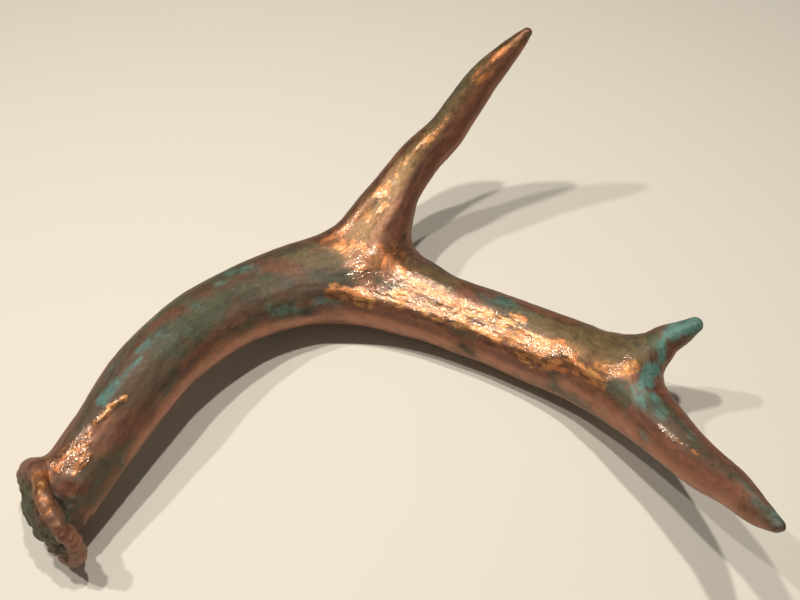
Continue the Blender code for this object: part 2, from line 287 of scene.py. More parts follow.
# Gold-copper leaf laid where the lamps' highlights fall: gold paint and painted highlight in one
GOLD_COPPER_AND_HIGHLIGHTS = (
    ("beam", (9, 0), (21, 13), 1.3, 1.1),
    ("beam", (10, -13), (24, 2), 1.7, 1.2),
    ("beam", (11, 19), (18, 24), 1.6, 1.1),
    ("beam", (28, 2), (33, 10), 0.9, 1.5),
    ("beam", (32, 9), (36, 10), 0.8, 1.5),
    ("beam", (35, 9), (40, 20), 1.1, 1.5),
    ("beam", (140, -22), (160, -8), 4.5, 0.8),
    ("beam", (143, 50), (158, 50), 3.6, 1.15),
    ("beam", (156, 46), (172, 40), 2.8, 1.05),
    ("beam", (158, -22), (164, -26), 3.6, 1.10),
    ("beam", (168, 0), (188, 12), 5.0, 0.85),
    ("beam", (174, 34), (198, 33), 5.2, 1.05),
    ("beam", (184, 44), (202, 44), 3.2, 0.95),
    ("beam", (190, 18), (214, 20), 4.4, 0.90),
    ("beam", (206, 45), (216, 46), 2.6, 1.0),
    ("beam", (212, 0), (222, 4), 2.6, 0.7),
    ("beam", (214, 14), (223, 18), 2.6, 0.75),
    ("beam", (218, 38), (228, 42), 2.9, 1.0),
    ("beam", (228, 28), (248, 28), 3.8, 0.95),
    ("beam", (228, 46), (250, 48), 3.8, 1.1),
    ("beam", (236, 38), (247, 42), 3.2, 1.3),
    ("beam", (254, 44), (262, 46), 2.6, 1.0),
    ("beam", (262, 52), (272, 52), 2.4, 0.9),
    ("beam", (264, 34), (270, 22), 3.4, 1.1),
    ("beam", (270, 26), (273, -6), 3.0, 1.2),
    ("beam", (296, 31), (314, 18), 0.8, 1.0),
    ("long_tine", (-4, -33), (18, -18), 2.6, 0.90),
    ("long_tine", (-2, 4), (10, 8), 3.0, 0.60),
    ("long_tine", (2, 40), (10, 70), 4.2, 1.20),
    ("long_tine", (12, 10), (30, 12), 4.5, 0.60),
    ("long_tine", (20, -14), (40, -4), 2.8, 0.90),
    ("long_tine", (38, -2), (62, 14), 3.2, 0.65),
    ("long_tine", (62, 17), (78, 10), 2.4, 0.75),
    ("long_tine", (94, 22), (112, 30), 2.6, 0.85),
)
BRONZE_OLIVE = (
    ("beam", (100, 10), (110, 28), 2.6, 0.6),
    ("beam", (126, -2), (140, 8), 5.0, 0.8),
    ("beam", (172, -22), (190, -20), 5.0, 0.9),
    ("beam", (222, -10), (250, -4), 6.5, 0.95),
    ("beam", (246, 0), (264, 0), 7.0, 1.0),
    ("beam", (250, 22), (256, 26), 3.5, 0.9),
    ("beam", (254, -24), (272, -24), 5.0, 0.9),
    ("long_tine", (-6, -6), (14, 10), 6.5, 0.90),
    ("long_tine", (14, -2), (60, 4), 6.0, 0.90),
    ("long_tine", (60, 0), (112, 10), 4.0, 0.85),
    ("short_tine", (4, -20), (12, -10), 4.0, 0.6),
)
# Dark umber in the groove behind the burr, in crotches and other hollows, and on a few dark patches:
# painted shade, with some dark paint
UMBER_AND_PAINTED_SHADE = (
    ("beam", (0, -45), (0, 40), 2.2, 0.9),
    ("beam", (42, 54), (58, 58), 2.6, 0.50),
    ("beam", (62, 66), (92, 62), 2.0, 0.50),
    ("beam", (124, 80), (132, 82), 3.0, 0.7),
    ("beam", (126, 52), (140, 54), 3.0, 0.60),
    ("beam", (134, 18), (146, 20), 4.0, 0.75),
    ("beam", (200, 62), (206, 52), 2.2, 0.6),
    ("beam", (202, 74), (205, 90), 2.4, 0.6),
    ("beam", (243, 62), (248, 84), 2.6, 0.5),
    ("beam", (286, 30), (330, 34), 2.2, 0.6),
    ("long_tine", (2, -58), (30, -62), 1.6, 0.7),
    ("long_tine", (8, 80), (20, 84), 2.0, 1.0),
    ("long_tine", (20, 44), (66, 46), 1.6, 0.7),
)

# On the burr: half a stroke's width in mm and how solid it is
RIM_ROSE = (3.8, 0.85)             # rose copper all around the rim
RIM_RED = (3.2, 0.80)              # red over it
# the gold on the rim's upper part is painted highlight along its crest
RIM_GOLD_AND_HIGHLIGHT = (2.6, 1.20)             # gold on its upper part,
RIM_GOLD_HIGHLIGHT_SPAN = (16, 56)           # between these balls of the rim
BASE_OLIVE = (6.0, 1.6)            # olive on the base
STROKE_STEP = 1.5                  # mm between the dabs that make up a stroke
DAB_CHUNK = 4000                   # points worked on at a time

# Where the varnish has dried in wrinkles: strokes as above. Under those more solid than one,
# the gold leaf has drawn back into veins.
WRINKLED = (
    ("beam", (10, 1), (21, 13), 1.4, 1.6),
    ("beam", (11, -13), (24, 0), 1.6, 1.6),
    ("beam", (12, 20), (17, 24), 1.2, 1.5),
    ("beam", (29, 4), (34, 10), 0.7, 1.4),
    ("beam", (36, 12), (39, 18), 0.8, 1.4),
    ("beam", (66, -36), (69, -34), 0.9, 0.9),
    ("beam", (152, 14), (170, 18), 3.6, 1.0),
    ("beam", (155, 29), (170, 31), 2.2, 1.0),
    ("beam", (156, 45), (170, 40), 1.4, 1.0),
    ("beam", (170, 4), (187, 14), 4.4, 0.95),
    ("beam", (182, 32), (197, 33), 4.0, 1.0),
    ("beam", (200, 22), (213, 28), 3.4, 0.95),
    ("beam", (213, 20), (222, 14), 1.6, 0.8),
    ("beam", (230, 28), (240, 32), 2.4, 0.9),
    ("beam", (240, 28), (248, 30), 1.6, 0.7),
    ("beam", (266, -18), (270, -8), 1.4, 0.8),
    ("beam", (270, 0), (275, -12), 1.8, 0.8),
    ("beam", (296, 31), (308, 22), 0.6, 0.9),
    ("beam", (308, 22), (320, 12), 0.6, 0.9),
    ("long_tine", (5, -27), (19, -16), 1.2, 0.45),
    ("long_tine", (27, -9), (32, -3), 1.1, 0.9),
    ("long_tine", (34, 0), (37, 4), 1.0, 0.9),
)

# Clouds in the paint: their length along the grain and width across it in mm, detail and seed
CLOUDS = {
    "broad": (15.0, 8.0, 4.0, 0.0),
    "mottle": (5.0, 3.0, 5.0, 3.0),
    "flecks": (1.6, 1.0, 3.0, 5.0),
    "streaks": (13.0, 0.9, 4.0, 6.0),
    "patches": (34.0, 19.0, 3.0, 7.0),
    "spots": (21.0, 15.0, 3.0, 4.0),
    "shreds": (11.0, 2.8, 4.0, 8.0),
    "folds": (4.4, 1.9, 3.0, 9.0),
    "creases": (3.0, 1.4, 4.0, 9.0),
    "pearl": (1.7, 1.3, 2.0, 2.0),
}

# Where a stroke becomes paint: how ragged its edge is, and the cover at which the paint
# starts and at which it is full
PAINT_EDGES = {
    "olive": (1.0, 0.20, 0.70),
    "bronze": (0.9, 0.18, 0.80),
    "teal": (1.0, 0.14, 1.00),
    "rose_and_reflection": (0.6, 0.16, 0.80),
    "red": (1.0, 0.28, 0.84),
    "gold_and_highlight": (1.3, 0.42, 0.74),
    "umber_and_shade": (1.0, 0.30, 0.80),
}
RAGGED_BROAD = 0.9                 # what each kind of cloud adds to the ragged edges
RAGGED_MOTTLE = 0.9
RAGGED_FLECKS = 0.3
WILD_OLIVE = 0.80                  # cover where no stroke lies
WILD_TEAL = 0.50
WILD_GOLD = 0.55
NEAR_COVER = 0.25                  # a stroke's cover from where on nothing is wild
VEINED_FROM = (0.95, 1.25)         # how wrinkled the varnish is where the veins set in
VEIN_EDGE = (0.08, 0.22)           # the veins lie where the folds are lower than this

# Colours of the paints, each as its dark and its light tone
COPPER_BROWN = ((0.14, 0.058, 0.036), (0.42, 0.190, 0.100))
OLIVE_BROWN = ((0.070, 0.038, 0.022), (0.165, 0.104, 0.058))
OLIVE_GREEN = ((0.050, 0.050, 0.026), (0.142, 0.138, 0.076))
BRONZE = ((0.105, 0.066, 0.028), (0.290, 0.180, 0.072))
TEAL = ((0.060, 0.115, 0.096), (0.155, 0.400, 0.330))
# rose copper, which on the lower flanks is painted reflection of the paper
ROSE_AND_REFLECTION = ((0.20, 0.085, 0.052), (0.56, 0.260, 0.160))
RUST = ((0.10, 0.032, 0.020), (0.30, 0.108, 0.056))
GOLD_LEAF_AND_HIGHLIGHT = ((0.60, 0.270, 0.092), (0.61, 0.222, 0.080))    # yellower and redder leaf, bright as a painted highlight
BELOW_LEAF = (0.190, 0.084, 0.037)                     # between the flakes of leaf
# dark umber, for the streaks of grime and for the painted shade
UMBER_OF_GRIME_AND_SHADE = (0.032, 0.022, 0.014)
BRONZE_STRENGTH = 0.85
TEAL_STRENGTH = 0.90
RUST_STRENGTH = 0.80
UMBER_AND_SHADE_STRENGTH = 0.80
GRIME_STRENGTH = 0.22
GRIME_ON_GOLD = 0.40               # of what lies elsewhere
TONE_MOTTLE = 1.5                  # how far mottle and flecks swing a tone
TONE_FLECKS = 1.1
GREEN_BROAD = 0.8                  # what broad clouds add to the patches of green wash
GREEN_EDGE = (0.38, 0.56)
GRIME_BROAD = 0.6                  # and to the streaks of grime
GRIME_EDGE = (0.50, 0.72)
LEAF_SHREDS = 0.6                  # what shreds, mottle and flecks add to the flakes of leaf
LEAF_MOTTLE = 0.4
LEAF_FLECKS = 0.3
LEAF_EDGE = (0.40, 0.60)
REDDER_EDGE = (0.42, 0.58)         # of the spots of redder leaf

# Gloss of the paints
COPPER_METALLIC = 0.85
DULL_METALLIC = 0.35
GOLD_METALLIC = 0.77
COPPER_ROUGHNESS = 0.52
DULL_ROUGHNESS = 0.68
GOLD_ROUGHNESS = 0.50
MOTTLED_ROUGHNESS = 0.20
WRINKLES_SMOOTHING = 0.10
PAINT_SPECULAR = 0.30
SATIN_COAT = 0.24                  # a soft sheen over all
SATIN_COAT_ON_GOLD = 0.30          # of what lies elsewhere
SATIN_ROUGHNESS = 0.50

# Unevenness of the paint and of the varnish over it
PAINT_DEPTH = 0.42 * MM
CREASES_PLAIN = 0.14               # share of that depth
CREASES_ON_GOLD = 0.30
CREASES_WRINKLED = 0.95
PAINT_PEARL = 0.12
VARNISH_DEPTH = 0.50 * MM
FOLDS_PLAIN = 0.20                 # share of that depth
FOLDS_WRINKLED = 0.90
VARNISH_PEARL = 0.40
VARNISH_TINT = (1.0, 0.91, 0.74)
VARNISH_ROUGHNESS = 0.14
SHINE_PLAIN = 0.001                # share of the light that the varnish mirrors
SHINE_ON_GOLD = 0.018
SHINE_WRINKLED = 0.095
SHINE_VEINED = 0.050

# Lamps and paper
LAMPS = (                          # place in mm and watts
    ((74.0, 63.0, 735.0), 2.15),
    ((-167.0, 65.0, 733.0), 2.15),
    ((-407.0, 73.0, 735.0), 2.0),
)
LAMP_AIM = Vector((0.25, -0.5, -1.0))
LAMP_RADIUS = 16.0 * MM
LAMP_COLOUR = (1.0, 0.97, 0.92)
ROOM_COLOUR = (0.80, 0.76, 0.70)
ROOM_STRENGTH = 0.14
PAPER_COLOUR = (0.86, 0.795, 0.68)
PAPER_ROUGHNESS = 0.9
PAPER_SIZE = 3.0

# Camera, where the photo was taken from
CAMERA_PLACE = Vector((11.8, -186.5, 309.4)) * MM
CAMERA_AIM = Vector((11.8, 30.0, 0.1)) * MM
CAMERA_FIELD = math.radians(50.0)
CAMERA_NEAR = 10.0 * MM


def swept(stations):
    """Balls along a smooth curve through the stations: rows of x, y, z, radius."""
    rows = np.array(stations) * MM
    gaps = np.linalg.norm(np.diff(rows[:, :3], axis=0), axis=1)
    along = np.concatenate(([0.0], np.cumsum(gaps)))
    slopes = np.gradient(rows, along, axis=0)
    fine = np.linspace(0.0, along[-1], int(along[-1] / BALL_STEP) + 1)
    low = np.clip(np.searchsorted(along, fine, side="right") - 1, 0, len(along) - 2)
    span = (along[low + 1] - along[low])[:, None]
    t = (fine - along[low])[:, None] / span
    return (
        (2 * t**3 - 3 * t**2 + 1) * rows[low]
        + (t**3 - 2 * t**2 + t) * span * slopes[low]
        + (3 * t**2 - 2 * t**3) * rows[low + 1]
        + (t**3 - t**2) * span * slopes[low + 1]
    )


def skin_place(balls, along, around):
    """A place on a branch's round skin, from mm along it and degrees around it."""
    place = np.clip(along * MM / BALL_STEP, 0, len(balls) - 1.001)
    low = place.astype(int)
    share = (place - low)[:, None]
    side, top = directions(balls)
    row = balls[low] * (1 - share) + balls[low + 1] * share
    side = unit(side[low] * (1 - share) + side[low + 1] * share)
    top = unit(top[low] * (1 - share) + top[low + 1] * share)
    turn = np.radians(around)[:, None]
    return row[:, :3] + row[:, 3:] * (np.sin(turn) * side + np.cos(turn) * top)


def stroke(balls, start, end, step):
    """Places in a row along a stroke on a branch's skin, no further apart than the step."""
    ends = skin_place(balls, np.array((start[0], end[0])), np.array((start[1], end[1])))
    count = int(np.linalg.norm(ends[1] - ends[0]) / (step * MM)) + 3
    along = np.linspace(start[0], end[0], count)
    around = np.linspace(start[1], end[1], count)
    return skin_place(balls, along, around)


def dabs(strokes, shapes):
    """The strokes as rows of dabs: x, y, z, half width and how solid the paint is."""
    rows = []
    for branch, start, end, half_width, solid in strokes:
        places = stroke(shapes[branch], start, end, STROKE_STEP)
        dab = np.full((len(places), 2), (half_width * MM, solid))
        rows.append(np.column_stack((places, dab)))
    return np.concatenate(rows)


def burr_dabs(balls, half_width, solid):
    """A dab over each ball of the burr's rim or base."""
    dab = np.full((len(balls), 2), (half_width * MM, solid))
    return np.column_stack((balls[:, :3], dab))


def covered(points, marks):
    """How much of each point's surroundings the dabs cover: it falls to half of a
    dab's solidity at its edge, and to nothing at twice its half width."""
    squares = (marks[:, :3] ** 2).sum(axis=1)
    cover = []
    for start in range(0, len(points), DAB_CHUNK):
        part = points[start:start + DAB_CHUNK]
        gaps = (part**2).sum(axis=1)[:, None] - 2 * part @ marks[:, :3].T + squares
        gaps = np.sqrt(np.maximum(gaps, 0.0))
        cover.append((marks[:, 4] * np.clip(1 - gaps / (2 * marks[:, 3]), 0.0, 1.0)).max(axis=1))
    return np.concatenate(cover)


def unit(vectors):
    """The vectors with a length of one."""
    return vectors / np.linalg.norm(vectors, axis=-1, keepdims=True)


def burr_axes():
    """The burr's facing direction and two directions across it, the first one level."""
    facing = unit(BURR_FACING)
    level = unit(np.cross(facing, (0.0, 0.0, 1.0)))
    return facing, level, np.cross(level, facing)


def wave(turn, shape):
    """Waves around a ring, between -1 and 1."""
    count, start = shape
    return np.sin(count * turn + start)


def burr_rim():
    """Balls around the rim, which swells into knobs and waves in and out of its plane."""
    facing, level, rising = burr_axes()
    turn = np.linspace(0.0, 2 * math.pi, RIM_BALLS, endpoint=False)
    broad = np.cos(RIM_BROAD_KNOBS * turn + RIM_KNOB_TURN)
    narrow = np.cos(RIM_NARROW_KNOBS * turn + RIM_KNOB_CROWDING * np.sin(turn))
    knob = RIM_KNOB_HEIGHT * (RIM_BROAD_SHARE * broad + (1 - RIM_BROAD_SHARE) * narrow)
    radius = RIM_RADIUS + RIM_STRAY * wave(turn, RIM_ROUND_WAVE) + knob
    depth = RIM_BEND * wave(turn, RIM_FLAT_WAVE)
    centre = (
        BURR_CENTRE
        + (radius * np.cos(turn))[:, None] * level
        + (RIM_SQUAT * radius * np.sin(turn))[:, None] * rising
        + depth[:, None] * facing
    )
    return np.column_stack((centre, RIM_ROLL + knob))


def burr_base():
    """Knobs spread over the domed underside of the burr, in a sunflower's spiral."""
    facing, level, rising = burr_axes()
    count = np.arange(BASE_KNOBS)
    share = np.sqrt((count + 0.5) / BASE_KNOBS)
    turn = count * GOLDEN_ANGLE
    out = BASE_RADIUS * share
    rise = BASE_DOME * (1 - share**2) + BASE_ROUGHNESS * np.sin(BASE_RISE_STEP * count)
    centre = (
        BURR_CENTRE
        + (out * np.cos(turn))[:, None] * level
        + (RIM_SQUAT * out * np.sin(turn))[:, None] * rising
        + rise[:, None] * facing
    )
    size = BASE_KNOB_RADIUS * (1 + BASE_KNOB_SPREAD * np.cos(BASE_SIZE_STEP * count))
    return np.column_stack((centre, size))


def nearest_ball(points, balls):
    """Which ball's skin lies nearest to each point."""
    reach = (balls[:, :3] ** 2).sum(axis=1)
    which = []
    for start in range(0, len(points), CHUNK):
        part = points[start:start + CHUNK]
        squares = (part**2).sum(axis=1)[:, None] - 2 * part @ balls[:, :3].T + reach
        gaps = np.sqrt(np.maximum(squares, 0.0)) - balls[:, 3]
        which.append(gaps.argmin(axis=1))
    return np.concatenate(which)


def to_ball(points, ball):
    """Distance from each point to its own ball's skin, and the way out of that ball."""
    spoke = points - ball[:, :3]
    length = np.linalg.norm(spoke, axis=1)
    return length - ball[:, 3], spoke / length[:, None]


def to_row(points, balls, ring=False):
    """Distance to a row of balls fused into a smooth branch, the way out, and the place
    in the row. A ring's last ball is fused to its first one."""
    which = nearest_ball(points, balls)
    distance, outward = to_ball(points, balls[which])
    place = which.astype(float)
    for first in (which - 1, which):
        if ring:
            first = first % len(balls)
            start, end = balls[first], balls[(first + 1) % len(balls)]
        else:
            first = np.clip(first, 0, len(balls) - 2)
            start, end = balls[first], balls[first + 1]
        link = end - start
        length = (link[:, :3] ** 2).sum(axis=1)
        share = ((points - start[:, :3]) * link[:, :3]).sum(axis=1) / length
        share = np.clip(share, 0.0, 1.0)
        gap, way = to_ball(points, start + share[:, None] * link)
        closer = gap < distance
        distance[closer] = gap[closer]
        outward[closer] = way[closer]
        place[closer] = (first + share)[closer]
    return distance, outward, place


def to_knobs(points, balls):
    """Distance to the nearest of separate knobs, and the way out of it."""
    return to_ball(points, balls[nearest_ball(points, balls)])


def blended(first, second, softness):
    """The smooth union of two shapes, each given as a distance and a way out of it."""
    share = np.clip(0.5 + 0.5 * (first[0] - second[0]) / softness, 0.0, 1.0)
    distance = first[0] * (1 - share) + second[0] * share - softness * share * (1 - share)
    outward = first[1] * (1 - share)[:, None] + second[1] * share[:, None]
    return distance, unit(outward)


def hollowed(shape, ball, softness):
    """The shape with a ball taken out of it."""
    outside = (-shape[0], -shape[1])
    distance, outward = blended(outside, ball, softness)
    return -distance, -outward


def neck_flare(points):
    """How softly the beam runs into the burr: more so on the burr's far side."""
    level = burr_axes()[1]
    place = ((points - BURR_CENTRE) * level).sum(axis=1)
    share = np.clip((place - NECK_FLARE_FROM) / (NECK_FLARE_TO - NECK_FLARE_FROM), 0.0, 1.0)
    return BURR_BLEND + NECK_FLARE * share**2 * (3 - 2 * share)


def directions(balls):
    """For each ball of a branch, its inner side and its top, both across the branch."""
    tangent = unit(np.gradient(balls[:, :3], axis=0))
    side = unit(np.cross(tangent, (0.0, 0.0, 1.0)))
    return side, np.cross(side, tangent)


def across(points, balls, place):
    """How far each point lies to the inner side and to the top of a branch's centre line."""
    low = np.clip(place.astype(int), 0, len(balls) - 2)
    share = (place - low)[:, None]
    side, top = directions(balls)
    side = unit(side[low] * (1 - share) + side[low + 1] * share)
    top = unit(top[low] * (1 - share) + top[low + 1] * share)
    spoke = points - (balls[low, :3] * (1 - share) + balls[low + 1, :3] * share)
    return (spoke * side).sum(axis=1), (spoke * top).sum(axis=1)


def ridges(points, beam, place):
    """Low ridges that run along the lower beam, turning slowly, and fade away from the burr."""
    inner, top = across(points, beam, place)
    turn = np.arctan2(top, inner)
    along = place * BALL_STEP
    phase = RIDGE_COUNT * turn + RIDGE_TWIST * along + RIDGE_CROWDING * np.sin(2 * turn)
    return RIDGE_HEIGHT * np.cos(phase) * np.clip(1 - along / RIDGE_FADE, 0.0, 1.0)


def lumps(points):
    """Broad, shallow swellings and hollows all over."""
    return np.array([LUMP_HEIGHT * noise.noise(Vector(p) / LUMP_SIZE) for p in points])


def swellings(points, shapes):
    """Long ridges and hollows, each fading out across its width and towards both ends."""
    height = np.zeros(len(points))
    for branch, start, end, half_width, rise in SWELLINGS:
        line = stroke(shapes[branch], start, end, SWELLING_STEP)
        line = np.column_stack((line, np.zeros(len(line))))
        distance, _, place = to_row(points, line)
        share = place / (len(line) - 1)
        fade = np.clip(np.minimum(share, 1 - share) / SWELLING_FADE, 0.0, 1.0)
        fade = fade**2 * (3 - 2 * fade)
        profile = np.clip(1 - (distance / (2 * half_width * MM)) ** 2, 0.0, 1.0) ** 2
        height += rise * MM * fade * profile
    return height


def relief(point, place):
    """The fine grain, small pits and, on the burr, warts. Grain and pits go by the place
    in the straightened antler."""
    grown = min(place[0] / FIBRE_START, 1.0)
    fibre = FIBRE_HEIGHT * grown * noise.noise(Vector(place / FIBRE_SIZE))
    pit = PIT_HEIGHT * noise.noise(Vector(place / PIT_SIZE))
    wart = WART_HEIGHT * (1 - grown) * noise.noise(Vector(point / WART_SIZE))
    return fibre + pit + wart


def skin_field(points, shapes):
    """Signed distance from the antler's surface and the way out of it."""
    beam_distance, beam_out, place = to_row(points, shapes["beam"])
    surface = (beam_distance - ridges(points, shapes["beam"], place), beam_out)
    for name, softness in (
        ("long_tine", LONG_FORK_BLEND),
        ("long_tine_web", LONG_FORK_BLEND),
        ("short_tine", SHORT_FORK_BLEND),
    ):
        surface = blended(surface, to_row(points, shapes[name])[:2], softness)
    surface = hollowed(surface, to_ball(points, FORK_DISH[None, :]), FORK_DISH_BLEND)
    surface = blended(surface, to_row(points, shapes["rim"], ring=True)[:2], neck_flare(points))
    surface = blended(surface, to_knobs(points, shapes["base"]), BURR_BLEND)
    return surface[0] - lumps(points) - swellings(points, shapes), surface[1]


class Socket:
    """An output of a node. Sums and products of outputs add the Math nodes for them."""

    def __init__(self, recipe, link):
        self.recipe = recipe
        self.link = link

    def maths(self, operation, first, second):
        settings = {"operation": operation}
        return self.recipe.node("ShaderNodeMath", settings, {0: first, 1: second})

    def __add__(self, other):
        return self.maths("ADD", self, other)

    def __sub__(self, other):
        return self.maths("SUBTRACT", self, other)

    def __rsub__(self, other):
        return self.maths("SUBTRACT", other, self)

    def __mul__(self, other):
        return self.maths("MULTIPLY", self, other)

    def __abs__(self):
        return self.recipe.node("ShaderNodeMath", {"operation": "ABSOLUTE"}, {0: self})

    __radd__ = __add__
    __rmul__ = __mul__


class Recipe:
    """A node tree that is built one node at a time."""

    def __init__(self, tree):
        self.tree = tree

    def node(self, kind, settings=None, sockets=None, output=0):
        """Adds a node, makes its settings, fills its sockets and returns one output."""
        made = self.tree.nodes.new(kind)
        for name, value in (settings or {}).items():
            setattr(made, name, value)
        for name, value in (sockets or {}).items():
            if isinstance(value, Socket):
                self.tree.links.new(value.link, made.inputs[name])
            else:
                made.inputs[name].default_value = value
        return Socket(self, made.outputs[output]) if made.outputs else None

    def fill(self, node, name, value):
        """Links a value to a socket of a node that is already there."""
        self.tree.links.new(value.link, node.inputs[name])

    def stored(self, name):
        """A number that the mesh stores at each point."""
        return self.node("ShaderNodeAttribute", {"attribute_name": name}, output="Fac")

    def noise(self, vector, cloud):
        """Cloudy noise, its clouds so many mm long along the grain and wide across it."""
        along, across, detail, seed = cloud
        scale = (1 / (along * MM), 1 / (across * MM), 1 / (across * MM))
        stretched = self.node("ShaderNodeVectorMath", {"operation": "MULTIPLY"}, {0: vector, 1: scale})
        return self.node(
            "ShaderNodeTexNoise", {"noise_dimensions": "4D"},
            {"Vector": stretched, "W": seed, "Scale": 1.0, "Detail": detail})

    def bump(self, height, depth):
        """A surface that rises by the depth where the height is one."""
        return self.node("ShaderNodeBump", sockets={"Strength": 1.0, "Distance": depth, "Height": height})

    def edge(self, value, low, high):
        """Nothing below low, everything above high, and a smooth step between them."""
        return self.node(
            "ShaderNodeMapRange", {"interpolation_type": "SMOOTHSTEP"},
            {"Value": value, "From Min": low, "From Max": high})

    def larger(self, first, second):
        return self.node("ShaderNodeMath", {"operation": "MAXIMUM"}, {0: first, 1: second})

    def mixed(self, share, first, second):
        """The first colour where share is 0, the second where it is 1."""
        colours = [(*c, 1.0) if isinstance(c, tuple) else c for c in (first, second)]
        return self.node(
            "ShaderNodeMix", {"data_type": "RGBA"},
            {0: share, 6: colours[0], 7: colours[1]}, output=2)


def geometry_tree(name, sizes):
    """A new Geometry Nodes tree with a geometry socket, named sizes and a material."""
    tree = bpy.data.node_groups.new(name, "GeometryNodeTree")
    interface = tree.interface
    interface.new_socket("Geometry", in_out="OUTPUT", socket_type="NodeSocketGeometry")
    interface.new_socket("Geometry", in_out="INPUT", socket_type="NodeSocketGeometry")
    for size in sizes:
        interface.new_socket(size, in_out="INPUT", socket_type="NodeSocketFloat")
    interface.new_socket("Paint", in_out="INPUT", socket_type="NodeSocketMaterial")
    recipe = Recipe(tree)
    group_input = tree.nodes.new("NodeGroupInput")
    inputs = {socket.name: Socket(recipe, socket) for socket in group_input.outputs if socket.name}
    return recipe, inputs


def close_tree(recipe, geometry, paint):
    """Ends a Geometry Nodes tree: instances made real, and the paint set."""
    real = recipe.node("GeometryNodeRealizeInstances", sockets={"Geometry": geometry})
    painted = recipe.node("GeometryNodeSetMaterial", sockets={"Geometry": real, "Material": paint})
    recipe.node("NodeGroupOutput", sockets={"Geometry": painted})


def shaped(mesh, tree, values):
    """The mesh after a Geometry Nodes tree has worked on it with the values given."""
    thing = bpy.data.objects.new(mesh.name, mesh)
    bpy.context.scene.collection.objects.link(thing)
    modifier = thing.modifiers.new(tree.name, "NODES")
    modifier.node_group = tree
    for item in tree.interface.items_tree:
        if item.in_out == "INPUT" and item.name in values:
            modifier[item.identifier] = values[item.name]
    depsgraph = bpy.context.evaluated_depsgraph_get()
    result = bpy.data.meshes.new_from_object(thing.evaluated_get(depsgraph))
    thing.modifiers.remove(modifier)
    bpy.data.objects.remove(thing)
    bpy.data.meshes.remove(mesh)
    return result


def body_tree():
    """Fuses balls, given as points with a thickness, into one closed skin."""
    recipe, inputs = geometry_tree("antler_body", ("Voxel",))
    thickness = recipe.node(
        "GeometryNodeInputNamedAttribute", {"data_type": "FLOAT"}, {"Name": "thickness"})
    points = recipe.node("GeometryNodeMeshToPoints", sockets={"Mesh": inputs["Geometry"]})
    volume = recipe.node(
        "GeometryNodePointsToVolume", {"resolution_mode": "VOXEL_SIZE"},
        {"Points": points, "Voxel Size": inputs["Voxel"], "Radius": thickness})
    skin = recipe.node("GeometryNodeVolumeToMesh", sockets={"Volume": volume})
    close_tree(recipe, skin, inputs["Paint"])
    return recipe.tree


def ball_mesh(shapes):
    """A mesh with a point for each ball, which knows the ball's thickness."""
    balls = np.concatenate(list(shapes.values()))
    mesh = bpy.data.meshes.new("antler_balls")
    mesh.from_pydata(balls[:, :3].tolist(), [], [])
    thickness = mesh.attributes.new("thickness", "FLOAT", "POINT")
    thickness.data.foreach_set("value", balls[:, 3])
    return mesh


def mesh_points(mesh):
    """The places of a mesh's points, one row each."""
    flat = np.empty(len(mesh.vertices) * 3)
    mesh.vertices.foreach_get("co", flat)
    return flat.reshape(-1, 3)


def set_points(mesh, points):
    """Moves a mesh's points to new places."""
    mesh.vertices.foreach_set("co", points.ravel())
    mesh.update()


def settled(points, shapes):
    """The points drawn onto the antler's surface, and each point's place in the grain."""
    for _ in range(SETTLE_PASSES):
        distance, outward = skin_field(points, shapes)
        points = points - distance[:, None] * outward
    lengthwise = grain(points, shapes)
    height = np.array([relief(*pair) for pair in zip(points, lengthwise)])
    return points + height[:, None] * outward, lengthwise


def grain(points, shapes):
    """Each point's place in the straightened antler: along its branch, and across it twice.
    It turns softly from the beam's to a tine's, so that fine marks follow every branch."""
    distance, _, place = to_row(points, shapes["beam"])
    lengthwise = np.column_stack((place * BALL_STEP, *across(points, shapes["beam"], place)))
    for name in ("long_tine", "short_tine"):
        tine = shapes[name]
        tine_distance, _, tine_place = to_row(points, tine)
        share = np.clip(0.5 + 0.5 * (distance - tine_distance) / GRAIN_BLEND, 0.0, 1.0)
        share = (share**2 * (3 - 2 * share))[:, None]
        root = to_row(tine[:1, :3], shapes["beam"])[2] * BALL_STEP
        along = tine_place * BALL_STEP + root
        rows = np.column_stack((along, *across(points, tine, tine_place)))
        lengthwise = lengthwise * (1 - share) + rows * share
    return lengthwise


def add_attribute(mesh, name, values):
    """Stores a number or a vector for each point of the mesh."""
    values = np.asarray(values, dtype=np.float32)
    if values.ndim == 2:
        mesh.attributes.new(name, "FLOAT_VECTOR", "POINT").data.foreach_set("vector", values.ravel())
    else:
        mesh.attributes.new(name, "FLOAT", "POINT").data.foreach_set("value", values)


def centred(cloud):
    """A cloud that swings about nought, not about a half."""
    return cloud - 0.5


def paint_cover(recipe, clouds):
    """How much of each paint there is, with ragged edges. Where no stroke lies, olive, teal
    and gold lie in wild patches."""
    ragged = (
        centred(clouds["broad"]) * RAGGED_BROAD
        + centred(clouds["mottle"]) * RAGGED_MOTTLE
        + centred(clouds["flecks"]) * RAGGED_FLECKS
    )
    wild = recipe.stored("wild")
    strokes = {name: recipe.stored(name) for name in PAINT_EDGES}
    strokes["olive"] += wild * clouds["patches"] * WILD_OLIVE
    strokes["teal"] += wild * clouds["spots"] * WILD_TEAL
    strokes["gold_and_highlight"] += wild * (1.0 - clouds["patches"]) * WILD_GOLD
    return {
        name: recipe.edge(strokes[name] + ragged * raggedness, start, full)
        for name, (raggedness, start, full) in PAINT_EDGES.items()
    }


def gold_leaf_and_highlight(recipe, clouds):
    """Flakes of leaf, yellower or redder in spots, with darker paint between them; the leaf also serves
    as painted highlight.
    """
    flakes = (
        clouds["shreds"] * LEAF_SHREDS
        + clouds["mottle"] * LEAF_MOTTLE
        + centred(clouds["flecks"]) * LEAF_FLECKS
    )
    redder = recipe.edge(clouds["spots"], *REDDER_EDGE)
    return recipe.mixed(recipe.edge(flakes, *LEAF_EDGE), BELOW_LEAF, recipe.mixed(redder, *GOLD_LEAF_AND_HIGHLIGHT))


